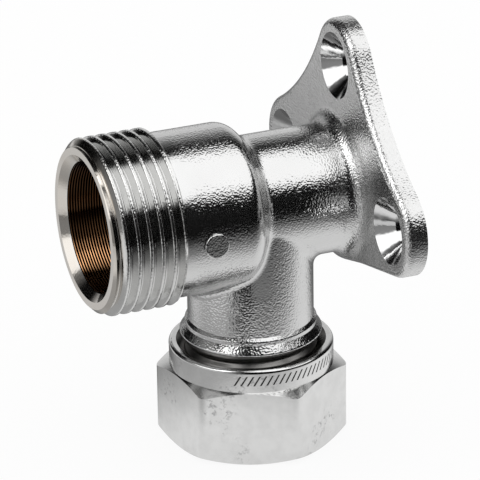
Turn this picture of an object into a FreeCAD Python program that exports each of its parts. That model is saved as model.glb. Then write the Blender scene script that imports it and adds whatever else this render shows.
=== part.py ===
import FreeCAD, Part
import math
import os
import types
import Sketcher

# Wall plate elbow: a hot-stamped brass body with a screw-on plate, a male outlet and a branch
# that points down and carries a compression nut with its olive.
# Frame: the wall is the plane y = 0, the outlet points to -Y and the branch to -Z.

SIZES = [
    ("outlet_reach", 43.0, "wall to the outlet's end face"),
    ("branch_from_wall", 17.0, "wall to the branch's axis"),
    ("plate_thickness", 3.2, "screw plate"),
    ("hole_circle_radius", 19.0, "outlet axis to each screw hole"),
    ("lobe_radius", 7.0, "rounded end of the plate at each hole"),
    ("waist_radius", 45.0, "hollow edge between two lobes"),
    ("hub_radius", 11.2, "lower edge of the plate below the neck"),
    ("rim_radius", 1.2, "rounding of the plate's front rim"),
    ("screw_hole_diameter", 5.2, "clearance for a 5 mm screw"),
    ("screw_head_diameter", 10.0, "countersink at the front face"),
    ("neck_radius", 9.7, "solid neck between plate and barrel"),
    ("neck_flare", 2.3, "blend of the neck into the plate"),
    ("barrel_radius", 12.3, "stamped barrel behind the thread"),
    ("shoulder_foot", 17.7, "wall to the foot of the barrel's shoulder"),
    ("shoulder_length", 2.2, "slope of the shoulder, along the axis"),
    ("shoulder_rounding", 3.0, "rounding of the shoulder's brow"),
    ("shoulder_hollow", 2.0, "hollow at the shoulder's foot"),
    ("thread_radius", 13.22, "crest of the three-quarter inch thread"),
    ("thread_length", 11.4, "end face to the barrel"),
    ("thread_pitch", 1.814, "crest to crest, fourteen to the inch"),
    ("thread_run_out", 0.4, "slope from the barrel up to the crests, along the axis"),
    ("thread_lead_in", 1.25, "chamfer at the outlet's end"),
    ("outlet_bore_radius", 9.8, "turned bore of the outlet"),
    ("outlet_bore_depth", 17.0, "end face to the floor of the bore"),
    ("outlet_mouth_chamfer", 1.1, "chamfer of the outlet's mouth"),
    ("waterway_radius", 6.5, "drilled passage round the corner"),
    ("riser_radius", 6.2, "drilled passage up the branch"),
    ("waterway_end", 6.0, "wall to the tip of the drilled passage"),
    ("dot_radius", 1.9, "raised dot on the barrel's side"),
    ("dot_height", 0.5, "dot above the barrel"),
    ("dot_rounding", 0.25, "rim of the dot"),
    ("dot_back", 4.4, "start of the thread back to the dot's centre"),
    ("dot_drop", 0.6, "outlet axis down to the dot's centre"),
    ("branch_radius", 9.4, "stamped branch"),
    ("branch_hollow", 1.5, "hollow between branch, neck and barrel"),
    ("collar_top", 18.6, "outlet axis down to the collar"),
    ("collar_radius", 9.85, "upper step of the collar"),
    ("collar_step", 0.6, "height of the upper step"),
    ("collar_rim_radius", 10.9, "flared rim of the collar"),
    ("collar_flare", 1.5, "height of the flare"),
    ("collar_rounding", 0.3, "edges of the collar"),
    ("spigot_radius", 9.87, "half-inch thread at its pitch line"),
    ("spigot_end", 29.5, "outlet axis down to the spigot's end"),
    ("spigot_chamfer", 0.5, "chamfer at the spigot's end"),
    ("pipe_radius", 7.5, "15 mm pipe"),
    ("pipe_clearance", 0.06, "pipe in socket, olive and nut"),
    ("pipe_stop", 17.5, "outlet axis down to the pipe's stop"),
    ("seat_land", 0.5, "flat between the spigot's bore and chamfer"),
    ("nut_top", 22.1, "outlet axis down to the nut's ring"),
    ("nut_height", 15.2, "ring and hexagon together"),
    ("across_flats", 25.0, "hexagon of the nut"),
    ("corner_rounding", 1.8, "rounding of the hexagon's corners"),
    ("nut_turned", 6.3, "turn of the hexagon about the branch, degrees"),
    ("ring_radius", 12.3, "round collar on the nut"),
    ("ring_height", 3.5, "round collar, along the axis"),
    ("ring_rounding", 0.5, "upper edge of the ring"),
    ("corner_bevel", 1.1, "fall of the bevel at the hexagon's corners"),
    ("nut_mouth_radius", 11.2, "mouth chamfer of the nut"),
    ("nut_mouth_depth", 1.3, "mouth chamfer, along the axis"),
    ("thread_clearance", 0.06, "nut on spigot, on the radius"),
    ("nut_floor", 2.4, "thickness of the nut's floor at the pipe hole"),
    ("olive_radius", 8.9, "outside of the olive"),
    ("olive_land", 0.4, "flat end face of the olive"),
    ("seat_clearance", 0.3, "olive to each cone, on the radius"),
]

doc = FreeCAD.newDocument("wall_plate_elbow")
sheet = doc.addObject("Spreadsheet::Sheet", "sizes")
for row, (alias, number, meaning) in enumerate(SIZES, 1):
    sheet.set(f"A{row}", meaning)
    sheet.set(f"B{row}", str(number))
    sheet.setAlias(f"B{row}", alias)
doc.recompute()


class Measure:
    """A length together with the sheet formula that it comes from."""

    def __init__(self, formula, number):
        self.formula = formula
        self.number = number

    def joined(self, sign, other, number):
        if isinstance(other, Measure):
            return Measure(f"({self.formula} {sign} {other.formula})", number)
        return Measure(f"({self.formula} {sign} {other})", number)

    def __add__(self, other):
        return self.joined("+", other, self.number + plain(other))

    def __sub__(self, other):
        return self.joined("-", other, self.number - plain(other))

    def __mul__(self, other):
        return self.joined("*", other, self.number * plain(other))

    def __truediv__(self, other):
        return self.joined("/", other, self.number / plain(other))

    def __neg__(self):
        return Measure(f"(-{self.formula})", -self.number)


def plain(value):
    return value.number if isinstance(value, Measure) else value


dim = types.SimpleNamespace(
    **{alias: Measure(f"sizes.{alias}", float(sheet.get(alias))) for alias, number, meaning in SIZES}
)

AXIS_X, AXIS_Y = -1, -2
START, END, CENTRE = 1, 2, 3
TOLERANCE = 0.001
FLAT = FreeCAD.Vector(0, 0, 1)

# A sketch on the YZ plane reads its first axis from the wall, its second one up or down.
FROM_WALL = FreeCAD.Rotation(FreeCAD.Vector(0, 1, 0), 180)
DOWNWARD = FreeCAD.Rotation(FreeCAD.Vector(1, 0, 0), 180)

# Depth of a drill's point for each unit of its radius.
DRILL_SLOPE = 0.6

# Depth and root flat of a pipe thread for each unit of its pitch.
THREAD_DEPTH = 0.64
THREAD_ROOT = 0.14

# Run of a thread's flank along the axis for each unit of its rise.
THREAD_FLANK = math.tan(math.radians(27.5))

# Sizes that several pieces share.
thread_start = dim.outlet_reach - dim.thread_length
crest_start = thread_start + dim.thread_run_out
dot_from_wall = thread_start - dim.dot_back
shoulder_brow = dim.shoulder_foot + dim.shoulder_length
pipe_hole = dim.pipe_radius + dim.pipe_clearance
seat_mouth = dim.spigot_radius - dim.spigot_chamfer - dim.seat_land
nut_bottom = dim.nut_top + dim.nut_height
hex_height = dim.nut_height - dim.ring_height
hex_corner = dim.across_flats / math.sqrt(3)


def body_named(label):
    body = doc.addObject("PartDesign::Body", label)
    body.Label = label
    return body


def sketch_on(body, name, role, turn=FreeCAD.Rotation()):
    plane = next(item for item in body.Origin.OriginFeatures if item.Role == role)
    sketch = body.newObject("Sketcher::SketchObject", name)
    sketch.AttachmentSupport = [(plane, "")]
    sketch.MapMode = "FlatFace"
    sketch.AttachmentOffset = FreeCAD.Placement(FreeCAD.Vector(), turn)
    return sketch


def constrain(sketch, kind, *items):
    return sketch.addConstraint(Sketcher.Constraint(kind, *items))


def dimension(sketch, measure, kind, *items):
    index = constrain(sketch, kind, *items, measure.number)
    sketch.setExpression(f"Constraints[{index}]", measure.formula)


def pin_point(sketch, geometry, point, across, along):
    """Ties a point to two measures from the sketch's origin; a plain 0 means on the axis."""
    for kind, axis, measure in (("DistanceX", AXIS_Y, across), ("DistanceY", AXIS_X, along)):
        if isinstance(measure, Measure):
            dimension(sketch, measure, kind, geometry, point)
        else:
            constrain(sketch, "PointOnObject", geometry, point, axis)


def profile(sketch, corners):
    """Closed outline of straight edges through corners (across, along) or (across, along, rounding)."""
    count = len(corners)
    places = [FreeCAD.Vector(plain(corner[0]), plain(corner[1]), 0) for corner in corners]
    followings = [(i + 1) % count for i in range(count)]
    trims = [
        rounding_trim(places[i - 1], places[i], places[following], corners[i][2:])
        for i, following in enumerate(followings)
    ]
    for i, following in enumerate(followings):
        along = (places[following] - places[i]).normalize()
        start = places[i] + along * trims[i]
        sketch.addGeometry(Part.LineSegment(start, places[following] - along * trims[following]))
    for i, corner in enumerate(corners):
        if len(corner) == 3:
            round_corner(sketch, i - 1 if i else count - 1, i, places[i], trims[i], corner)
        else:
            constrain(sketch, "Coincident", i - 1 if i else count - 1, END, i, START)
            pin_point(sketch, i, START, corner[0], corner[1])


def rounding_trim(before, corner, after, rounding):
    """Length that a rounding takes off each edge at its corner."""
    if not rounding:
        return 0.0
    turn = (corner - before).getAngle(after - corner)
    return plain(rounding[0]) * math.tan(turn / 2)


def round_corner(sketch, before, after, place, trim, corner):
    """Arc between two edges, tangent to both, with the corner itself kept as a pinned point."""
    first, last = sketch.getPoint(before, END), sketch.getPoint(after, START)
    inward = (first + last) / 2 - place
    reach = math.hypot(trim, corner[2].number)
    middle = place + inward.normalize() * (reach - corner[2].number)
    arc = sketch.addGeometry(Part.Arc(first, middle, last))
    ends = (START, END) if (sketch.getPoint(arc, START) - first).Length < TOLERANCE else (END, START)
    constrain(sketch, "Tangent", before, END, arc, ends[0])
    constrain(sketch, "Tangent", after, START, arc, ends[1])
    dimension(sketch, corner[2], "Radius", arc)
    point = sketch.addGeometry(Part.Point(place), True)
    constrain(sketch, "PointOnObject", point, START, before)
    constrain(sketch, "PointOnObject", point, START, after)
    pin_point(sketch, point, START, corner[0], corner[1])


def turned(body, kind, name, sketch, axis):
    """Solid or cut of revolution about one axis of its own sketch."""
    feature = body.newObject(kind, name)
    feature.Profile = sketch
    feature.ReferenceAxis = (sketch, [axis])
    feature.Angle = 360.0
    doc.recompute()
    return feature


def rounded(body, name, feature, edges, radius):
    names = [
        f"Edge{number}" for number, edge in enumerate(feature.Shape.Edges, 1)
        if any(edge.isSame(chosen) for chosen in edges)
    ]
    fillet = body.newObject("PartDesign::Fillet", name)
    fillet.Base = (feature, names)
    fillet.setExpression("Radius", radius.formula)
    doc.recompute()
    return fillet


def plate_outline(sketch):
    """Three lobes round the screw holes, hollow upper edges, straight lower edges to the hub."""
    reach, lobe = dim.hole_circle_radius.number, dim.lobe_radius.number
    waist, hub = dim.waist_radius.number, dim.hub_radius.number
    rise = math.sqrt((waist + lobe) ** 2 - reach ** 2 / 2)
    away = (reach + rise * math.sqrt(2)) / 2
    to_top = math.atan2(away - reach, away)
    to_side = math.pi / 2 - to_top
    lower = math.asin((hub - lobe) / reach) - math.pi / 2

    def arc(x, y, radius, start, stop):
        circle = Part.Circle(FreeCAD.Vector(x, y, 0), FLAT, radius)
        return sketch.addGeometry(Part.ArcOfCircle(circle, start, stop))

    def line(start, stop):
        return sketch.addGeometry(Part.LineSegment(start, stop))

    top = arc(0, reach, lobe, to_top, math.pi - to_top)
    waist_left = arc(-away, away, waist, -to_side, -to_top)
    left = arc(-reach, 0, lobe, math.pi - to_side, math.pi - lower)
    lower_hub = arc(0, 0, hub, math.pi - lower, 2 * math.pi + lower)
    right = arc(reach, 0, lobe, lower, to_side)
    waist_right = arc(away, away, waist, math.pi + to_top, math.pi + to_side)
    edge_left = line(sketch.getPoint(left, END), sketch.getPoint(lower_hub, START))
    edge_right = line(sketch.getPoint(lower_hub, END), sketch.getPoint(right, START))
    joints = [
        (top, END, waist_left, END),
        (waist_left, START, left, START),
        (left, END, edge_left, START),
        (edge_left, END, lower_hub, START),
        (lower_hub, END, edge_right, START),
        (edge_right, END, right, START),
        (right, END, waist_right, END),
        (waist_right, START, top, START),
    ]
    for joint in joints:
        constrain(sketch, "Tangent", *joint)
    constrain(sketch, "Coincident", lower_hub, CENTRE, AXIS_X, START)
    constrain(sketch, "PointOnObject", top, CENTRE, AXIS_Y)
    constrain(sketch, "PointOnObject", left, CENTRE, AXIS_X)
    constrain(sketch, "PointOnObject", right, CENTRE, AXIS_X)
    for first, second in ((top, left), (top, right), (waist_left, waist_right)):
        constrain(sketch, "Equal", first, second)
    dimension(sketch, dim.lobe_radius, "Radius", top)
    dimension(sketch, dim.waist_radius, "Radius", waist_left)
    dimension(sketch, dim.hub_radius, "Radius", lower_hub)
    dimension(sketch, dim.hole_circle_radius, "DistanceY", AXIS_X, START, top, CENTRE)
    dimension(sketch, dim.hole_circle_radius, "DistanceX", AXIS_X, START, right, CENTRE)
    dimension(sketch, dim.hole_circle_radius, "DistanceX", left, CENTRE, AXIS_X, START)


def front_rim(feature):
    """Edges where the plate's side walls end at the front."""
    half_way = -dim.plate_thickness.number / 2
    walls = [
        face for face in feature.Shape.Faces
        if abs(face.BoundBox.YMax) < TOLERANCE and face.BoundBox.YMin < half_way
    ]
    return [edge for wall in walls for edge in wall.Edges if edge.BoundBox.YMax < half_way]


def screw_plate(body):
    """Plate padded to the height of the flare, then faced back around the flare of the neck."""
    outline = sketch_on(body, "plate_outline", "XZ_Plane")
    plate_outline(outline)
    blank = body.newObject("PartDesign::Pad", "plate_blank")
    blank.Profile = outline
    blank.setExpression("Length", (dim.plate_thickness + dim.neck_flare).formula)
    doc.recompute()
    sketch = sketch_on(body, "facing_profile", "YZ_Plane", FROM_WALL)
    far = dim.hole_circle_radius + dim.lobe_radius * 2
    beyond = dim.plate_thickness + dim.neck_flare * 2
    profile(sketch, [
        (dim.plate_thickness, dim.neck_radius, dim.neck_flare),
        (dim.plate_thickness, far),
        (beyond, far),
        (beyond, dim.neck_radius),
    ])
    faced = turned(body, "PartDesign::Groove", "plate_facing", sketch, "H_Axis")
    return rounded(body, "plate_rim", faced, front_rim(faced), dim.rim_radius)


def outlet(body):
    """Neck, shoulder, barrel and thread blank in one turned profile."""
    sketch = sketch_on(body, "outlet_profile", "YZ_Plane", FROM_WALL)
    profile(sketch, [
        (0, 0),
        (0, dim.neck_radius),
        (dim.shoulder_foot, dim.neck_radius, dim.shoulder_hollow),
        (shoulder_brow, dim.barrel_radius, dim.shoulder_rounding),
        (thread_start, dim.barrel_radius),
        (crest_start, dim.thread_radius),
        (dim.outlet_reach - dim.thread_lead_in, dim.thread_radius),
        (dim.outlet_reach, dim.thread_radius - dim.thread_lead_in),
        (dim.outlet_reach, 0),
    ])
    return turned(body, "PartDesign::Revolution", "outlet", sketch, "H_Axis")


def outlet_thread(body):
    """Crests of the outlet's thread as rings, a pitch apart from the run-out to the lead-in."""
    depth = dim.thread_pitch * THREAD_DEPTH
    overcut = depth / 8
    half_root = dim.thread_pitch * THREAD_ROOT / 2
    half_mouth = half_root + (depth + overcut) * THREAD_FLANK
    first = crest_start + dim.thread_pitch - half_root - depth * THREAD_FLANK
    root = dim.thread_radius - depth
    mouth = dim.thread_radius + overcut
    sketch = sketch_on(body, "thread_form", "YZ_Plane", FROM_WALL)
    profile(sketch, [
        (first - half_root, root),
        (first + half_root, root),
        (first + half_mouth, mouth),
        (first - half_mouth, mouth),
    ])
    groove = turned(body, "PartDesign::Groove", "thread_groove", sketch, "H_Axis")
    thread = body.newObject("PartDesign::LinearPattern", "outlet_thread")
    thread.Originals = [groove]
    thread.Direction = (sketch, ["H_Axis"])
    pitches = (dim.outlet_reach - dim.thread_lead_in / 2 - first) / dim.thread_pitch
    thread.setExpression("Length", f"{dim.thread_pitch.formula} * floor({pitches.formula})")
    thread.setExpression("Occurrences", f"floor({pitches.formula}) + 1")
    body.Tip = thread
    doc.recompute()
    return thread


def side_dot(body):
    """Raised round mark on the barrel's side, with a rounded rim."""
    sketch = sketch_on(body, "dot_outline", "YZ_Plane", FROM_WALL)
    centre = FreeCAD.Vector(dot_from_wall.number, -dim.dot_drop.number, 0)
    sketch.addGeometry(Part.Circle(centre, FLAT, dim.dot_radius.number))
    pin_point(sketch, 0, CENTRE, dot_from_wall, -dim.dot_drop)
    dimension(sketch, dim.dot_radius, "Radius", 0)
    dot = body.newObject("PartDesign::Pad", "side_dot")
    dot.Profile = sketch
    dot.Reversed = True
    dot.setExpression("Length", (dim.barrel_radius + dim.dot_height).formula)
    doc.recompute()
    rim = [edge for edge in dot.Shape.Edges if on_dot_rim(edge)]
    return rounded(body, "dot_rim", dot, rim, dim.dot_rounding)


def on_dot_rim(edge):
    """True for the circle round the dot's flat face."""
    top = dim.barrel_radius.number + dim.dot_height.number
    beside = abs(edge.BoundBox.Center.y + dot_from_wall.number) < dim.dot_radius.number
    return beside and edge.BoundBox.XMin > top - TOLERANCE


def branch(body):
    """Stamped branch with its flared collar and the spigot below it."""
    sketch = sketch_on(body, "branch_profile", "YZ_Plane", DOWNWARD)
    sketch.setExpression("AttachmentOffset.Base.x", (-dim.branch_from_wall).formula)
    step_low = dim.collar_top + dim.collar_step
    rim_low = step_low + dim.collar_flare
    profile(sketch, [
        (0, 0),
        (dim.branch_radius, 0),
        (dim.branch_radius, dim.collar_top - (dim.collar_radius - dim.branch_radius)),
        (dim.collar_radius, dim.collar_top, dim.collar_rounding),
        (dim.collar_radius, step_low),
        (dim.collar_rim_radius, rim_low, dim.collar_rounding),
        (dim.spigot_radius, rim_low),
        (dim.spigot_radius, dim.spigot_end - dim.spigot_chamfer),
        (dim.spigot_radius - dim.spigot_chamfer, dim.spigot_end),
        (0, dim.spigot_end),
    ])
    stem = turned(body, "PartDesign::Revolution", "branch", sketch, "V_Axis")
    root = [edge for edge in stem.Shape.Edges if on_branch_root(edge)]
    return rounded(body, "branch_root", stem, root, dim.branch_hollow)


def on_branch_root(edge):
    """True where the branch's wall runs into the neck and the barrel."""
    first, last = edge.ParameterRange
    points = [edge.valueAt(first + (last - first) * part / 4) for part in range(5)]
    spans = [math.hypot(point.x, point.y + dim.branch_from_wall.number) for point in points]
    on_wall = all(abs(span - dim.branch_radius.number) < TOLERANCE for span in spans)
    return on_wall and edge.BoundBox.ZMin > -dim.barrel_radius.number - TOLERANCE


def bores(body):
    """Outlet bore with the drilled passage behind it, then the branch's bore and pipe socket."""
    floor = dim.outlet_reach - dim.outlet_bore_depth
    sketch = sketch_on(body, "outlet_bore_profile", "YZ_Plane", FROM_WALL)
    profile(sketch, [
        (dim.outlet_reach, 0),
        (dim.outlet_reach, dim.outlet_bore_radius + dim.outlet_mouth_chamfer),
        (dim.outlet_reach - dim.outlet_mouth_chamfer, dim.outlet_bore_radius),
        (floor, dim.outlet_bore_radius),
        (floor - (dim.outlet_bore_radius - dim.waterway_radius) * DRILL_SLOPE, dim.waterway_radius),
        (dim.waterway_end + dim.waterway_radius * DRILL_SLOPE, dim.waterway_radius),
        (dim.waterway_end, 0),
    ])
    turned(body, "PartDesign::Groove", "outlet_bore", sketch, "H_Axis")
    sketch = sketch_on(body, "branch_bore_profile", "YZ_Plane", DOWNWARD)
    sketch.setExpression("AttachmentOffset.Base.x", (-dim.branch_from_wall).formula)
    profile(sketch, [
        (0, 0),
        (dim.riser_radius, 0),
        (dim.riser_radius, dim.pipe_stop),
        (pipe_hole, dim.pipe_stop),
        (pipe_hole, dim.spigot_end - (seat_mouth - pipe_hole)),
        (seat_mouth, dim.spigot_end),
        (0, dim.spigot_end),
    ])
    return turned(body, "PartDesign::Groove", "branch_bore", sketch, "V_Axis")


def screw_holes(body):
    """Countersunk holes above and on both sides of the neck."""
    sketch = sketch_on(body, "screw_hole_centres", "XZ_Plane")
    sketch.setExpression("AttachmentOffset.Base.z", dim.plate_thickness.formula)
    reach = dim.hole_circle_radius.number
    for x, y in ((0, reach), (reach, 0), (-reach, 0)):
        circle = Part.Circle(FreeCAD.Vector(x, y, 0), FLAT, dim.screw_hole_diameter.number / 2)
        index = sketch.addGeometry(circle)
        ends = (index, CENTRE, AXIS_X, START) if x < 0 else (AXIS_X, START, index, CENTRE)
        constrain(sketch, "PointOnObject", index, CENTRE, AXIS_X if x else AXIS_Y)
        dimension(sketch, dim.hole_circle_radius, "DistanceX" if x else "DistanceY", *ends)
        dimension(sketch, dim.screw_hole_diameter, "Diameter", index)
    doc.recompute()
    holes = body.newObject("PartDesign::Hole", "screw_holes")
    holes.Profile = sketch
    holes.DepthType = "ThroughAll"
    holes.Threaded = False
    holes.HoleCutType = "Countersink"
    holes.HoleCutCustomValues = True
    holes.HoleCutCountersinkAngle = 90.0
    holes.setExpression("Diameter", dim.screw_hole_diameter.formula)
    holes.setExpression("HoleCutDiameter", dim.screw_head_diameter.formula)
    doc.recompute()
    return holes


def elbow_body():
    body = body_named("elbow_body")
    screw_plate(body)
    outlet(body)
    outlet_thread(body)
    side_dot(body)
    branch(body)
    bores(body)
    body.Tip = screw_holes(body)
    return body


def compression_nut():
    """Hexagon with rounded and bevelled corners, a round ring above it and the bore for the pipe."""
    body = body_named("compression_nut")
    hexagon = body.newObject("PartDesign::AdditivePrism", "hexagon")
    hexagon.Polygon = 6
    hexagon.setExpression("Circumradius", hex_corner.formula)
    hexagon.setExpression("Height", hex_height.formula)
    doc.recompute()
    full_height = hex_height.number - TOLERANCE
    upright = [edge for edge in hexagon.Shape.Edges if edge.BoundBox.ZLength > full_height]
    rounded(body, "hexagon_corners", hexagon, upright, dim.corner_rounding)
    sketch = sketch_on(body, "ring_profile", "XZ_Plane")
    profile(sketch, [
        (0, hex_height),
        (dim.ring_radius, hex_height),
        (dim.ring_radius, dim.nut_height, dim.ring_rounding),
        (0, dim.nut_height),
    ])
    turned(body, "PartDesign::Revolution", "ring", sketch, "V_Axis")
    beyond = hex_corner * 2 - dim.ring_radius
    sketch = sketch_on(body, "upper_bevel_profile", "XZ_Plane")
    profile(sketch, [
        (dim.ring_radius, hex_height),
        (beyond, hex_height),
        (beyond, hex_height - dim.corner_bevel * 2),
    ])
    turned(body, "PartDesign::Groove", "upper_bevel", sketch, "V_Axis")
    sketch = sketch_on(body, "lower_bevel_profile", "XZ_Plane")
    profile(sketch, [(dim.ring_radius, 0), (beyond, 0), (beyond, dim.corner_bevel * 2)])
    turned(body, "PartDesign::Groove", "lower_bevel", sketch, "V_Axis")
    thread = dim.spigot_radius + dim.thread_clearance
    sketch = sketch_on(body, "nut_bore_profile", "XZ_Plane")
    profile(sketch, [
        (0, 0),
        (pipe_hole, 0),
        (pipe_hole, dim.nut_floor),
        (thread, dim.nut_floor + thread - pipe_hole),
        (thread, dim.nut_height - dim.nut_mouth_depth),
        (dim.nut_mouth_radius, dim.nut_height),
        (0, dim.nut_height),
    ])
    body.Tip = turned(body, "PartDesign::Groove", "nut_bore", sketch, "V_Axis")
    body.Placement.Rotation = FreeCAD.Rotation(FLAT, dim.nut_turned.number)
    body.setExpression("Placement.Rotation.Angle", f"{dim.nut_turned.formula} * 1 deg")
    set_below_branch(body, nut_bottom)
    return body


def olive():
    """Brass ring between the spigot's mouth and the nut's floor, with a 45 degree cone at each end."""
    body = body_named("olive")
    end_radius = pipe_hole + dim.olive_land
    cone = dim.olive_radius - end_radius
    bottom = nut_bottom - dim.nut_floor - dim.olive_land - dim.seat_clearance
    top = dim.spigot_end + end_radius + dim.seat_clearance - seat_mouth
    height = bottom - top
    sketch = sketch_on(body, "olive_profile", "XZ_Plane")
    profile(sketch, [
        (pipe_hole, 0),
        (end_radius, 0),
        (dim.olive_radius, cone),
        (dim.olive_radius, height - cone),
        (end_radius, height),
        (pipe_hole, height),
    ])
    body.Tip = turned(body, "PartDesign::Revolution", "olive_ring", sketch, "V_Axis")
    set_below_branch(body, bottom)
    return body


def set_below_branch(body, drop):
    """Places a body on the branch's axis, its lower face a given drop below the outlet's axis."""
    body.setExpression("Placement.Base.y", (-dim.branch_from_wall).formula)
    body.setExpression("Placement.Base.z", (-drop).formula)


bodies = [elbow_body(), compression_nut(), olive()]
doc.recompute()

for item in doc.Objects:
    if "Invalid" in item.State or "Error" in item.State:
        raise RuntimeError(f"{item.Name} failed: {item.State}")
for body in bodies:
    if body.Shape.isNull() or not body.Shape.isValid():
        raise RuntimeError(f"{body.Label} has no valid shape")

os.makedirs("parts", exist_ok=True)
for body in bodies:
    body.Shape.exportStep(f"parts/{body.Label}.step")
    print(body.Label, round(body.Shape.Volume, 2), body.Shape.BoundBox)
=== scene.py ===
import math
from collections import namedtuple

import bmesh
import bpy
from mathutils import Matrix, Vector


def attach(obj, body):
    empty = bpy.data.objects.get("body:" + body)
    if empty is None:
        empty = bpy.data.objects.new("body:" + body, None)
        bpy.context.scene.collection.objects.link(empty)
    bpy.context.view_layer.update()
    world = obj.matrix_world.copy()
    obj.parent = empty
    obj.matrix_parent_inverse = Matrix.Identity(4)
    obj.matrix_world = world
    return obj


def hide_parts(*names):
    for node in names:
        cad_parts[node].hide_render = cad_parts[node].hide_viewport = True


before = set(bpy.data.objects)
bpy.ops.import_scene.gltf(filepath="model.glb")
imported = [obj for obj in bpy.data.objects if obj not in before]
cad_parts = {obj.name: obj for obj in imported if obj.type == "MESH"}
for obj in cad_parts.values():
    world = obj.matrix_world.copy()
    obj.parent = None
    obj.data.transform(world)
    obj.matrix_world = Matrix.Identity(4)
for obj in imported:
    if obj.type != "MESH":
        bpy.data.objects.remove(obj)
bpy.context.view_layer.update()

MM = 0.001
TURN = 2 * math.pi

# Sizes of the elbow, in millimetres, as its solids have them.
OUTLET_REACH = 43.0
BORE_RADIUS = 9.8
BORE_FROM_WALL = 5.0
MOUTH_CHAMFER = 1.1
PLATE_THICKNESS = 3.2
HOLE_CIRCLE = 19.0
COUNTERSINK_RADIUS = 5.0
BRANCH_FROM_WALL = 17.0
SOCKET_TOP = -5.0
SEAT_MOUTH = 8.87
NUT_MOUTH_RADIUS = 11.2
RING_RADIUS = 12.3
RING_TOP = -22.6
RING_FOOT = -25.6
RING_MIDDLE = (RING_TOP + RING_FOOT) / 2
NUT_FOOT = -37.3

# Slanted strokes on the nut's ring: how far apart, how many, where they begin, their lean, how high they sit,
# half their width and height, the margin of the cell round each, and the slope and depth of their sides.
STROKE_STEP = math.radians(4.5)
STROKES = 54
STROKES_FROM = math.radians(-33.0)
STROKE_SLANT = 0.6
STROKE_RISE = 0.35
STROKE_HALF_SIZE = (0.14, 0.75)
STROKE_MARGIN = 0.2
STROKE_SLOPE = 0.07
STROKE_DEPTH = 0.2
RING_SEAM = 0.03

OUTLET_AXIS = Vector((0, -1, 0))
UPWARD = Vector((0, 0, 1))

# Right-hand threads: their stretch along the axis, the radius they rise from, their crests and depth,
# where the first groove begins, and the slopes at both ends. The spigot's crests are flush with its wall.
Thread = namedtuple("Thread", "start end foot crest depth groove run_out lead_in")
OUTLET_THREAD = Thread(31.6, OUTLET_REACH, 12.3, 13.22, 1.161, 32.53, 0.4, 1.25)
SPIGOT_THREAD = Thread(20.7, 29.5, 9.87, 9.87, 0.55, 21.6, 0.4, 0.5)
THREAD_PITCH = 1.814
SEAM = 0.02

# Rising side of a thread's outline, as shares of its pitch and depth, and how it is wound.
THREAD_FLANK = [
    (0.0, 0.0), (0.05, 0.015), (0.08, 0.06), (0.11, 0.13), (0.33, 0.85), (0.37, 0.95), (0.42, 1.0),
]
WINDING_FROM = 7.5
WOUND_TURNS = 10
STEPS_IN_TURN = 96

# Welding distances: of solids and threads, of plane cuts, and of the nut's ring, which is in millimetres.
WELD = 0.001 * MM
CUT_WELD = 0.0001 * MM
RING_WELD = 0.002

# Margins for finding faces, in millimetres, and limits on how far a face points along a direction.
WALL_MARGIN = 0.1
BORE_MARGIN = 0.05
SPIGOT_MARGIN = 0.3
RING_MARGIN = 0.012
PLACE_MARGIN = 0.01
INWARD = 0.2
FLAT = 0.95

# Edges sharper than this stay sharp.
CREASE = math.radians(32)
SOLID_NORMAL = "solid_normal"

# Finishes of the elbow's body and of the nut, by their slots.
STAMPED, TURNED, BORE, COUNTERSUNK, HIDDEN = range(5)
NUT_PLATED, NUT_STROKE, NUT_INSIDE = range(3)

# Colours of the metals and of the table.
CHROME_SHADE = (0.58, 0.58, 0.575, 1)
STAMPED_LIGHT = (0.65, 0.65, 0.65, 1)
TURNED_LIGHT = (0.67, 0.67, 0.66, 1)
THIN_PLATING = (0.57, 0.53, 0.48, 1)
COUNTERSUNK_LIGHT = (0.68, 0.68, 0.68, 1)
NUT_LIGHT = (0.72, 0.72, 0.715, 1)
NUT_SHADE = (0.66, 0.66, 0.655, 1)
SCUFF = (0.36, 0.36, 0.36, 1)
# Painted shade, near black, for the floors of the strokes on the nut's ring.
DEEP_PAINTED_SHADE = (0.06, 0.06, 0.06, 1)
# Painted shade, dark grey with a paler grey mottle, for the spigot under the nut and the nut's inside; the
# darker grey also tints the strokes' floors.
PAINTED_SHADE_DARK = (0.16, 0.16, 0.155, 1)
PAINTED_SHADE_PALE = (0.34, 0.33, 0.32, 1)
# Painted shade of the bore's brass, near black, and painted highlights of bright brass on its rings.
SHADED_BORE_BRASS = (0.03, 0.014, 0.007, 1)
HIGHLIT_BORE_BRASS = (0.80, 0.42, 0.20, 1)
OLIVE_SHADE = (0.72, 0.50, 0.22, 1)
OLIVE_LIGHT = (0.82, 0.64, 0.34, 1)
PAPER = (0.92, 0.92, 0.92, 1)
WHITE = (1, 1, 1, 1)
BLACK = (0, 0, 0, 1)

# The table, in metres.
FLOOR_SIZE = (0.60, 0.50, 1)
FLOOR_CENTRE = (-0.15, 0.015, NUT_FOOT * MM)

# What the metal mirrors above the table: the direction of each light, the cosines where its edge
# begins and ends, and its strength. In turn: far wall, dim side, front, side panel and high panel.
Light = namedtuple("Light", "direction edge strength")
SOFT_BOX = Light((0.29, 0.347, 0.892), (0.79, 0.88), 1.5)
ROOM_LIGHTS = [
    Light((-0.93, 0.36, 0.0), (0.75, 0.97), 0.6),
    Light((-0.90, 0.36, 0.30), (0.8, 0.97), 0.2),
    Light((0.10, -0.95, 0.30), (0.6, 0.95), 0.3),
    Light((0.10, -0.82, 0.57), (0.89, 0.94), 1.3),
    Light((0.05, -0.58, 0.81), (0.93, 0.97), 1.6),
]
ROOM_GLOW = 0.002

# The photograph's viewpoint, in degrees and millimetres, and its lens.
AZIMUTH, ELEVATION, ROLL = 67.759, 23.402, -0.829
AIM = Vector((0, 12.0, 0))
SHIFT_LEFT, SHIFT_DOWN, DISTANCE = 28.111, 10.615, 667.0
SENSOR_WIDTH, LENS = 36.0, 334.8
CLIP_START, CLIP_END = 0.01, 10.0


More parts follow.
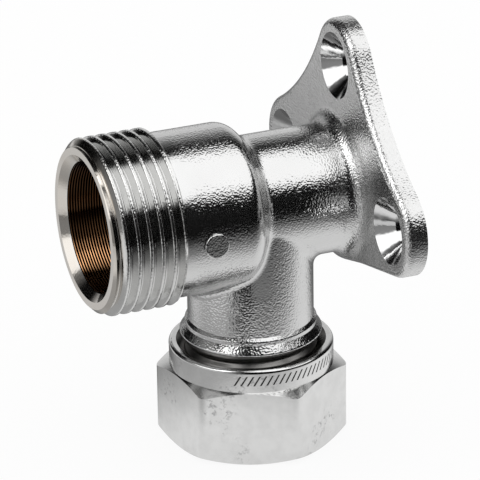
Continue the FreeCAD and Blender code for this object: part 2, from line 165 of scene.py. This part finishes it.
class Value:
    """A number in a node tree; arithmetic on it adds Math nodes."""

    def __init__(self, tree, socket):
        self.tree = tree
        self.socket = socket

    def math(self, operation, *others):
        return self.tree.node("Math", {"operation": operation}, dict(enumerate((self, *others))))

    def __add__(self, other):
        return self.math("ADD", other)

    def __mul__(self, other):
        return self.math("MULTIPLY", other)

    def __rsub__(self, other):
        return self.tree.node("Math", {"operation": "SUBTRACT"}, {0: other, 1: self})

    __radd__ = __add__

    def between(self, low, high):
        """0 below low, 1 above high, with a smooth rise."""
        limits = {"Value": self, "From Min": low, "From Max": high}
        return self.tree.node("MapRange", {"interpolation_type": "SMOOTHSTEP"}, limits)

    def wave(self, operation="SINE"):
        """Swings between 0 and 1, once for every whole number."""
        return (self * TURN).math(operation) * 0.5 + 0.5


class Tree:
    """The emptied node tree of one finish, of the floor or of the world."""

    def __init__(self, owner):
        owner.use_nodes = True
        self.nodes = owner.node_tree.nodes
        self.links = owner.node_tree.links
        self.nodes.clear()

    def node(self, kind, settings=None, inputs=None, output=0):
        made = self.nodes.new("ShaderNode" + kind)
        for name, setting in (settings or {}).items():
            setattr(made, name, setting)
        for name, value in (inputs or {}).items():
            if isinstance(value, Value):
                self.links.new(value.socket, made.inputs[name])
            else:
                made.inputs[name].default_value = value
        return Value(self, made.outputs[output]) if made.outputs else None

    def place(self):
        """Where a point is on the piece."""
        return self.node("TexCoord", output="Object")

    def along(self, axis):
        """How far a point is along one axis of the piece, in millimetres."""
        return self.node("SeparateXYZ", None, {0: self.place()}, axis) * (1 / MM)

    def noise(self, size, detail, roughness=0.5):
        """Noise whose blotches are about as wide as the given size in millimetres."""
        return self.node("TexNoise", None, {
            "Vector": self.place(), "Scale": 1 / (size * MM), "Detail": detail, "Roughness": roughness,
        })

    def mixed(self, factor, first, second):
        return self.node("Mix", {"data_type": "RGBA"}, {0: factor, 6: first, 7: second}, 2)

    def bumped(self, height, depth):
        """Normal of a relief whose full height is the given depth in millimetres."""
        return self.node("Bump", None, {"Strength": 1.0, "Distance": depth * MM, "Height": height})

    def ray(self, kind):
        """1 for rays of one kind, 0 for others."""
        return self.node("LightPath", output=f"Is {kind} Ray")

    def metal(self, color, roughness, **relief):
        """Ends the tree in bare metal, with a Normal if it has a relief."""
        inputs = {"Base Color": color, "Metallic": 1.0, "Roughness": roughness, **relief}
        self.node("OutputMaterial", None, {"Surface": self.node("BsdfPrincipled", None, inputs)})


def finish_named(name):
    material = bpy.data.materials.new(name)
    return material, Tree(material)


def stamped_chrome():
    """Plated stamping: a pebbled skin, calm on the shoulder and beside the thread, coarse on the plate."""
    material, tree = finish_named("stamped_chrome")
    from_wall = tree.along("Y") * -1
    shoulder = from_wall.between(16.5, 18.5) * (1 - from_wall.between(20.0, 22.0))
    beside_thread = from_wall.between(29.0, 31.0)
    above_branch = tree.along("Z").between(-13.0, -11.0)
    calm = (shoulder + beside_thread) * above_branch
    plate = 1 - from_wall.between(3.0, 7.0)
    pebble = tree.noise(size=0.27, detail=0.0)
    swell = tree.noise(size=1.0, detail=1.0)
    tone = tree.noise(size=6.0, detail=2.0)
    height = (pebble * 0.85 + swell * 0.15) * (1 - calm * 0.7 + plate * 0.5)
    color = tree.mixed(tone, CHROME_SHADE, STAMPED_LIGHT)
    tree.metal(color, 0.10 + pebble * 0.08 + plate * 0.10, Normal=tree.bumped(height, depth=0.055))
    return material


def turned_chrome():
    """Plated after turning: bright, speckled on the crests, the plating thin and warm at the outlet's end."""
    material, tree = finish_named("turned_chrome")
    x, z = tree.along("X"), tree.along("Z")
    from_wall = tree.along("Y") * -1
    radius = (x * x + z * z).math("SQRT")
    speckle = tree.noise(size=0.35, detail=0.0)
    tone = tree.noise(size=3.0, detail=2.0)
    crest = radius.between(OUTLET_THREAD.crest - 0.25, OUTLET_THREAD.crest - 0.05)
    thin = from_wall.between(OUTLET_REACH - 1.7, OUTLET_REACH - 0.7) * (0.5 + tone * 0.6)
    plated = tree.mixed(tone, CHROME_SHADE, TURNED_LIGHT)
    color = tree.mixed(thin, plated, THIN_PLATING)
    height = speckle * (0.06 + crest * 0.5)
    tree.metal(color, 0.07 + speckle * 0.08 + crest * 0.05, Normal=tree.bumped(height, depth=0.08))
    return material


def turned_brass():
    """Bare bore: rings from the tool, the brass painted near black as the shade deep in the bore, with
    painted highlights of bright brass along the rings low down near the mouth.
    """
    material, tree = finish_named("turned_brass")
    ring_pitch = 0.42
    y, z = tree.along("Y"), tree.along("Z")
    wander = tree.noise(size=4.0, detail=1.0)
    blotches = tree.noise(size=2.4, detail=3.0, roughness=0.6)
    turns = y * (1 / ring_pitch) + wander * 0.35
    near_mouth = (y * -1).between(26.0, 41.0)
    # Painted highlights on the rings low down near the mouth; the rest of the bore stays painted shade.
    lit_low = z.between(-9.6, -8.0) * (1 - z.between(-5.0, -1.0))
    painted_highlight = turns.wave("COSINE") * (0.2 + blotches * 0.8) * near_mouth * (0.12 + lit_low * 0.88)
    color = tree.mixed(painted_highlight, SHADED_BORE_BRASS, HIGHLIT_BORE_BRASS)
    tree.metal(color, 0.07 + blotches * 0.08, Normal=tree.bumped(turns.wave(), depth=0.085))
    return material


def countersunk_chrome():
    """Plated cones of the screw holes: mirror bright, a little wavy from the cutter."""
    material, tree = finish_named("countersunk_chrome")
    chatter = tree.noise(size=1.1, detail=1.0)
    tree.metal(COUNTERSUNK_LIGHT, 0.06 + chatter * 0.08, Normal=tree.bumped(chatter, depth=0.03))
    return material


def nut_chrome():
    """Plated bar stock: smooth flats with a faint mottle and a few grey scuffs."""
    material, tree = finish_named("nut_chrome")
    mottle = tree.noise(size=2.2, detail=3.0, roughness=0.6)
    speckle = tree.noise(size=0.3, detail=1.0)
    patches = tree.noise(size=7.0, detail=1.0).between(0.56, 0.70)
    marks = tree.noise(size=0.9, detail=3.0, roughness=0.7).between(0.52, 0.66)
    scuffed = patches * marks
    plated = tree.mixed(mottle.between(0.3, 0.75), NUT_LIGHT, NUT_SHADE)
    color = tree.mixed(scuffed * 0.7, plated, SCUFF)
    height = mottle * 0.6 + speckle * 0.4
    tree.metal(color, 0.09 + mottle * 0.08 + scuffed * 0.1, Normal=tree.bumped(height, depth=0.012))
    return material


def stroke_painted_shade():
    """Dull floor of the strokes on the nut's ring, painted near black as the shade in the recesses, mottled
    by noise.
    """
    material, tree = finish_named("stroke_painted_shade")
    stroke_mottle = tree.noise(size=0.4, detail=2.0)
    tree.metal(tree.mixed(stroke_mottle, DEEP_PAINTED_SHADE, PAINTED_SHADE_DARK), 0.35 + stroke_mottle * 0.2)
    return material


def painted_shade_thread():
    """Dull metal on the spigot below the collar and inside the nut, painted dark grey as the shade between
    spigot and nut, mottled by noise.
    """
    material, tree = finish_named("painted_shade_thread")
    shade_mottle = tree.noise(size=1.5, detail=3.0)
    tree.metal(tree.mixed(shade_mottle, PAINTED_SHADE_DARK, PAINTED_SHADE_PALE), 0.22 + shade_mottle * 0.16)
    return material


def olive_brass():
    """Soft turned brass."""
    material, tree = finish_named("olive_brass")
    ring_pitch = 0.25
    rings = (tree.along("Z") * (1 / ring_pitch)).wave()
    blotches = tree.noise(size=2.0, detail=3.0)
    color = tree.mixed(blotches, OLIVE_SHADE, OLIVE_LIGHT)
    tree.metal(color, 0.24 + blotches * 0.12, Normal=tree.bumped(rings, depth=0.008))
    return material


def floor_white():
    """White table with the elbow's soft shadow left in; what the metal sees of it is painted darker towards
    the camera and behind, fading into a dim room, with a painted shadow in a strip under the outlet.
    """
    material, tree = finish_named("floor_white")
    x = tree.along("X")
    from_wall = tree.along("Y") * -1
    # Painted shade on the table, seen only in the metal's reflections: towards the camera, behind, and a
    # painted shadow in a strip under the outlet beside the branch.
    towards_camera = x.between(20.0, 65.0) * 0.75 + x.between(65.0, 110.0) * 0.2
    before = towards_camera * (1 - from_wall.between(60.0, 90.0) * 0.7)
    behind = (x * -1).between(0.0, 30.0) * (0.82 - from_wall.between(30.0, 60.0) * 0.6)
    strip = from_wall.between(35.0, 55.0) * (1 - from_wall.between(75.0, 95.0))
    outlet_painted_shadow = strip * (1 - (x * -1).between(5.0, 40.0)) * 0.5
    camera, glossy, through = (tree.ray(kind) for kind in ("Camera", "Glossy", "Transmission"))
    paper = tree.node("BsdfDiffuse", None, {"Color": PAPER})
    glow = tree.node("Emission", None, {"Color": WHITE, "Strength": 1.0})
    dark = tree.node("Emission", None, {"Color": BLACK, "Strength": 0.0})
    lit = tree.node("MixShader", None, {0: (camera + through) * 0.9 + glossy * 0.7, 1: paper, 2: glow})
    dimmed = glossy * (before + behind + outlet_painted_shadow)
    table = tree.node("MixShader", None, {0: dimmed, 1: lit, 2: dark})
    tree.node("OutputMaterial", None, {"Surface": table})
    return material


def thread_form(bm, thread):
    """One pitch of thread outline, root to root, above the axis and past the thread's end."""
    root = thread.crest - thread.depth
    far_root = thread.groove + THREAD_PITCH * WINDING_FROM
    outline = THREAD_FLANK + [(1 - along, rise) for along, rise in reversed(THREAD_FLANK)]
    line = [
        bm.verts.new((0, -(far_root - THREAD_PITCH * along) * MM, (root + thread.depth * rise) * MM))
        for along, rise in outline
    ]
    return [bm.edges.new(pair) for pair in zip(line, line[1:])]


def wound_thread(thread, ends):
    """Thread about the outlet's axis, wound past both ends, then chamfered, run out and cut to length."""
    bm = bmesh.new()
    bmesh.ops.spin(
        bm, geom=thread_form(bm, thread), cent=(0, 0, 0), axis=(0, 1, 0),
        dvec=(0, THREAD_PITCH * MM / STEPS_IN_TURN, 0),
        angle=TURN * WOUND_TURNS, steps=STEPS_IN_TURN * WOUND_TURNS, use_merge=False,
    )
    bmesh.ops.remove_doubles(bm, verts=bm.verts[:], dist=WELD)
    for vert in bm.verts:
        reach = math.hypot(vert.co.x, vert.co.z)
        along = -vert.co.y / MM
        wound = (math.atan2(vert.co.z, vert.co.x) / TURN + 0.25) % 1
        before_start = along < thread.groove + THREAD_PITCH * (wound - 0.5)
        radius = thread.crest if before_start else reach / MM
        lead_in = thread.crest - thread.lead_in + thread.end - along
        rise = max(along - thread.start, 0) / thread.run_out
        run_out = thread.foot + rise * (thread.crest - thread.foot)
        scale = min(radius, lead_in, run_out) * MM / reach
        vert.co.x *= scale
        vert.co.z *= scale
    cut_between(bm, bm.faces[:], ends, clear_outside=True)
    return bm


def cut_between(bm, faces, ends, clear_outside=False):
    """Cuts faces along two planes square to the outlet's axis, and may drop what lies beyond them."""
    for place, outward in zip(ends, (-OUTLET_AXIS, OUTLET_AXIS)):
        faces = [face for face in faces if face.is_valid]
        edges = {edge for face in faces for edge in face.edges}
        verts = {vert for face in faces for vert in face.verts}
        made = bmesh.ops.bisect_plane(
            bm, geom=[*verts, *edges, *faces], dist=CUT_WELD,
            plane_co=OUTLET_AXIS * place * MM, plane_no=outward, clear_outer=clear_outside,
        )
        faces = [item for item in made["geom"] if isinstance(item, bmesh.types.BMFace)]


def wall_radius(thread):
    """Radius outside which a face is part of a thread's wall."""
    return thread.crest - thread.lead_in - WALL_MARGIN


def on_thread(face, thread, cuts):
    """True on the outside about the outlet's axis between two cuts."""
    centre = face.calc_center_median() / MM
    outside = math.hypot(centre.x, centre.z) > wall_radius(thread)
    return outside and cuts[0] < -centre.y < cuts[1]


def near_thread(face, thread):
    """True on outside faces that reach into a thread's stretch."""
    outside = min(math.hypot(vert.co.x, vert.co.z) / MM for vert in face.verts) > wall_radius(thread)
    return outside and max(-vert.co.y / MM for vert in face.verts) > thread.start + SEAM


def finish_zone(face):
    """Which finish a face of the elbow's body has, from where it is and which way it points."""
    centre = face.calc_center_median() / MM
    outlet_spoke = Vector((centre.x, 0, centre.z))
    branch_spoke = Vector((centre.x, centre.y + BRANCH_FROM_WALL, 0))
    from_wall = -centre.y
    in_outlet = BORE_FROM_WALL < from_wall < OUTLET_REACH - MOUTH_CHAMFER
    if in_outlet and outlet_spoke.length < BORE_RADIUS + BORE_MARGIN:
        if face.normal.dot(outlet_spoke.normalized()) < INWARD:
            return BORE
    if centre.z < SOCKET_TOP and branch_spoke.length < SEAT_MOUTH:
        if face.normal.dot(branch_spoke.normalized()) < INWARD:
            return BORE
    # The spigot below the collar takes the painted shade of the thread between spigot and nut.
    below_collar = centre.z < WALL_MARGIN - SPIGOT_THREAD.start
    if below_collar and branch_spoke.length < SPIGOT_THREAD.crest + SPIGOT_MARGIN:
        return HIDDEN
    if from_wall > OUTLET_THREAD.start:
        return TURNED
    hole_places = ((0, HOLE_CIRCLE), (HOLE_CIRCLE, 0), (-HOLE_CIRCLE, 0))
    from_hole = min((centre - Vector((x, centre.y, z))).length for x, z in hole_places)
    in_plate = from_wall < PLATE_THICKNESS + WALL_MARGIN
    if from_hole < COUNTERSINK_RADIUS and in_plate and abs(face.normal.y) < FLAT:
        return COUNTERSUNK
    return STAMPED


def new_piece(name, bm, finishes, body):
    """Writes a bmesh out as a smooth-shaded piece that rides on a body and keeps its solid's normals."""
    mesh = bpy.data.meshes.new(name)
    bm.to_mesh(mesh)
    bm.free()
    for finish in finishes:
        mesh.materials.append(finish)
    mesh.shade_smooth()
    mesh.set_sharp_from_angle(angle=CREASE)
    kept = mesh.attributes[SOLID_NORMAL]
    mesh.normals_split_custom_set([corner.vector for corner in kept.data])
    mesh.attributes.remove(mesh.attributes[SOLID_NORMAL])
    piece = bpy.data.objects.new(name, mesh)
    bpy.context.scene.collection.objects.link(piece)
    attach(piece, body)
    return piece


def merged_copy(node):
    """A node's mesh with its seams closed; each corner remembers the solid's own normal."""
    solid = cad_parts[node].data
    bm = bmesh.new()
    bm.from_mesh(solid)
    kept = bm.loops.layers.float_vector.new(SOLID_NORMAL)
    for face, polygon in zip(bm.faces, solid.polygons):
        for loop, corner in zip(face.loops, polygon.loop_indices):
            loop[kept] = solid.corner_normals[corner].vector
    bmesh.ops.remove_doubles(bm, verts=bm.verts[:], dist=WELD)
    return bm


def take_in(bm, other):
    """Adds another bmesh to this one."""
    mesh = bpy.data.meshes.new("taken_in")
    other.to_mesh(mesh)
    other.free()
    bm.from_mesh(mesh)
    bpy.data.meshes.remove(mesh)


def open_loop(bm, axis, place):
    """Boundary edges that lie at one place along an axis."""
    return [
        edge for edge in bm.edges
        if edge.is_boundary and all(abs(vert.co.dot(axis) / MM - place) < PLACE_MARGIN for vert in edge.verts)
    ]


def wind(bm, thread):
    """Exchanges the solid's wall about the outlet's axis for a wound thread with soft crests and roots."""
    cuts = (thread.start + SEAM, thread.end - SEAM)
    ends = (thread.start + 2 * SEAM, thread.end - 2 * SEAM)
    cut_between(bm, [face for face in bm.faces if near_thread(face, thread)], cuts)
    wall = [face for face in bm.faces if on_thread(face, thread, cuts)]
    bmesh.ops.delete(bm, geom=wall, context="FACES")
    take_in(bm, wound_thread(thread, ends))
    for places in zip(cuts, ends):
        edges = [edge for place in places for edge in open_loop(bm, OUTLET_AXIS, place)]
        bmesh.ops.bridge_loops(bm, edges=edges)


def threaded_body(hidden):
    """The stamped body with wound threads on its outlet and on its spigot."""
    bm = merged_copy("elbow_body")
    wind(bm, OUTLET_THREAD)
    to_branch = Matrix.Translation((0, -BRANCH_FROM_WALL * MM, 0))
    downward = to_branch @ Matrix.Rotation(math.pi / 2, 4, "X")
    bmesh.ops.transform(bm, matrix=downward.inverted(), verts=bm.verts[:])
    wind(bm, SPIGOT_THREAD)
    bmesh.ops.transform(bm, matrix=downward, verts=bm.verts[:])
    bmesh.ops.recalc_face_normals(bm, faces=bm.faces[:])
    for face in bm.faces:
        face.material_index = finish_zone(face)
    finishes = [stamped_chrome(), turned_chrome(), turned_brass(), countersunk_chrome(), hidden]
    piece = new_piece("plated_elbow", bm, finishes, "elbow")
    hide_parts("elbow_body")


def stroke_cell(bm):
    """One flat of the ring's wall with a slanted V stroke pressed into it."""
    width = 2 * RING_RADIUS * math.sin(STROKE_STEP / 2)
    height = RING_TOP - RING_FOOT - 2 * RING_SEAM
    bmesh.ops.create_grid(bm, x_segments=1, y_segments=1, size=0.5)
    bmesh.ops.scale(bm, vec=(width, height, 1), verts=bm.verts[:])
    rim = bmesh.ops.inset_individual(bm, faces=bm.faces[:], thickness=STROKE_MARGIN)["faces"]
    centre = [face for face in bm.faces if face not in rim]
    stroke = centre[0].verts[:]
    spans = [max(abs(vert.co[axis]) for vert in stroke) for axis in (0, 1)]
    growth = [half / span for half, span in zip(STROKE_HALF_SIZE, spans)]
    bmesh.ops.scale(bm, vec=(*growth, 1), verts=stroke)
    bmesh.ops.translate(bm, vec=(0, STROKE_RISE, 0), verts=stroke)
    sides = bmesh.ops.inset_individual(bm, faces=centre, thickness=STROKE_SLOPE, depth=-STROKE_DEPTH)["faces"]
    for face in sides + centre:
        face.material_index = NUT_STROKE
    turn = Matrix(((0, 0, 1), (1, 0, 0), (0, 1, 0))).to_4x4()
    bmesh.ops.transform(bm, matrix=turn, verts=bm.verts[:])
    middle = Vector((RING_RADIUS * math.cos(STROKE_STEP / 2), 0, RING_MIDDLE))
    bmesh.ops.translate(bm, vec=middle, verts=bm.verts[:])


def ring_wall():
    """The nut ring's outer wall: strokes round two thirds of it, plain for the rest."""
    bm = bmesh.new()
    stroke_cell(bm)
    bmesh.ops.spin(
        bm, geom=bm.faces[:], cent=(0, 0, 0), axis=UPWARD,
        angle=STROKE_STEP * (STROKES - 1), steps=STROKES - 1, use_duplicate=True,
    )
    plain = TURN - STROKE_STEP * STROKES
    angle = STROKE_STEP * (STROKES - 0.5)
    ends = [
        bm.verts.new((RING_RADIUS * math.cos(angle), RING_RADIUS * math.sin(angle), z))
        for z in (RING_FOOT + RING_SEAM, RING_TOP - RING_SEAM)
    ]
    bmesh.ops.spin(
        bm, geom=[bm.edges.new(ends)], cent=(0, 0, 0), axis=UPWARD,
        angle=plain, steps=round(plain / STROKE_STEP),
    )
    bmesh.ops.remove_doubles(bm, verts=bm.verts[:], dist=RING_WELD)
    for vert in bm.verts:
        lean = (vert.co.z - RING_MIDDLE) * STROKE_SLANT / RING_RADIUS
        vert.co.rotate(Matrix.Rotation(STROKES_FROM + lean, 3, "Z"))
    bmesh.ops.scale(bm, vec=(MM, MM, MM), verts=bm.verts[:])
    bmesh.ops.translate(bm, vec=(0, -BRANCH_FROM_WALL * MM, 0), verts=bm.verts[:])
    return bm


def on_ring_wall(face):
    """True on the nut ring's outer wall."""
    return all(
        abs(math.hypot(vert.co.x, vert.co.y + BRANCH_FROM_WALL * MM) / MM - RING_RADIUS) < RING_MARGIN
        and RING_FOOT - PLACE_MARGIN < vert.co.z / MM < RING_TOP + PLACE_MARGIN
        for vert in face.verts
    )


def inside_nut(face):
    """True on the nut's bore and its mouth."""
    centre = face.calc_center_median() / MM
    spoke = Vector((centre.x, centre.y + BRANCH_FROM_WALL, 0))
    return spoke.length < NUT_MOUTH_RADIUS and face.normal.dot(spoke.normalized()) < -INWARD


def engraved_nut(hidden):
    """The compression nut with its ring's wall exchanged for the engraved one."""
    bm = merged_copy("compression_nut")
    bmesh.ops.delete(bm, geom=[face for face in bm.faces if on_ring_wall(face)], context="FACES")
    take_in(bm, ring_wall())
    for edge, seam in ((RING_TOP, -RING_SEAM), (RING_FOOT, RING_SEAM)):
        loops = open_loop(bm, UPWARD, edge) + open_loop(bm, UPWARD, edge + seam)
        bmesh.ops.bridge_loops(bm, edges=loops)
    bmesh.ops.recalc_face_normals(bm, faces=bm.faces[:])
    kept = bm.loops.layers.float_vector[SOLID_NORMAL]
    for face in bm.faces:
        # The nut's bore and mouth take the same painted shade.
        if inside_nut(face):
            face.material_index = NUT_INSIDE
        if face.material_index == NUT_PLATED and on_ring_wall(face):
            for loop in face.loops:
                place = loop.vert.co
                loop[kept] = Vector((place.x, place.y + BRANCH_FROM_WALL * MM, 0)).normalized()
    piece = new_piece("engraved_nut", bm, [nut_chrome(), stroke_painted_shade(), hidden], "nut")
    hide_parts("compression_nut")


def dress_node(node, finish):
    """Gives a carried-over node its finish."""
    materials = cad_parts[node].data.materials
    for index in range(len(materials)):
        materials[index] = finish


def studio_floor():
    """The table that the nut stands on."""
    bm = bmesh.new()
    bmesh.ops.create_grid(bm, x_segments=1, y_segments=1, size=0.5)
    bmesh.ops.scale(bm, verts=bm.verts[:], vec=FLOOR_SIZE)
    bmesh.ops.translate(bm, verts=bm.verts[:], vec=FLOOR_CENTRE)
    mesh = bpy.data.meshes.new("floor")
    bm.to_mesh(mesh)
    bm.free()
    mesh.materials.append(floor_white())
    floor = bpy.data.objects.new("floor", mesh)
    bpy.context.scene.collection.objects.link(floor)


def studio_world():
    """White for the camera; for the metal a dim room with a soft box overhead, two panels and a pale wall."""
    world = bpy.data.worlds.new("studio")
    bpy.context.scene.world = world
    tree = Tree(world)
    direction = tree.node("TexCoord", output="Generated")

    def spread(light):
        directions = {0: direction, 1: light.direction}
        cosine = tree.node("VectorMath", {"operation": "DOT_PRODUCT"}, directions, "Value")
        return cosine.between(*light.edge)

    overhead = spread(SOFT_BOX)
    dim_room = sum((spread(light) * light.strength for light in ROOM_LIGHTS), ROOM_GLOW)
    room = overhead * SOFT_BOX.strength + (1 - overhead) * dim_room
    camera, glossy = (tree.ray(kind) for kind in ("Camera", "Glossy"))
    light = glossy * room + (1 - glossy)
    studio = tree.node("Background", None, {"Color": WHITE, "Strength": light})
    white = tree.node("Background", None, {"Color": WHITE, "Strength": 1.0})
    shown = tree.node("MixShader", None, {0: camera, 1: studio, 2: white})
    tree.node("OutputWorld", None, {"Surface": shown})


def photo_camera():
    """Camera at the photograph's viewpoint, slightly rolled, with a long lens."""
    azimuth, elevation, roll = (math.radians(angle) for angle in (AZIMUTH, ELEVATION, ROLL))
    level = Vector((math.sin(azimuth), -math.cos(azimuth), 0)) * math.cos(elevation)
    back = level + UPWARD * math.sin(elevation)
    right = Vector((math.cos(azimuth), math.sin(azimuth), 0))
    up = back.cross(right)
    rolled_right = right * math.cos(roll) + up * math.sin(roll)
    rolled_up = up * math.cos(roll) - right * math.sin(roll)
    place = AIM - rolled_right * SHIFT_LEFT - rolled_up * SHIFT_DOWN + back * DISTANCE
    data = bpy.data.cameras.new("camera")
    data.sensor_width = SENSOR_WIDTH
    data.lens = LENS
    data.clip_start = CLIP_START
    data.clip_end = CLIP_END
    camera = bpy.data.objects.new("camera", data)
    bpy.context.scene.collection.objects.link(camera)
    turned = Matrix((rolled_right, rolled_up, back)).transposed().to_4x4()
    camera.matrix_world = Matrix.Translation(place * MM) @ turned
    bpy.context.scene.camera = camera


painted_shade_finish = painted_shade_thread()
threaded_body(painted_shade_finish)
engraved_nut(painted_shade_finish)
dress_node("olive", olive_brass())
studio_floor()
studio_world()
photo_camera()
bpy.context.scene.view_settings.view_transform = "Standard"
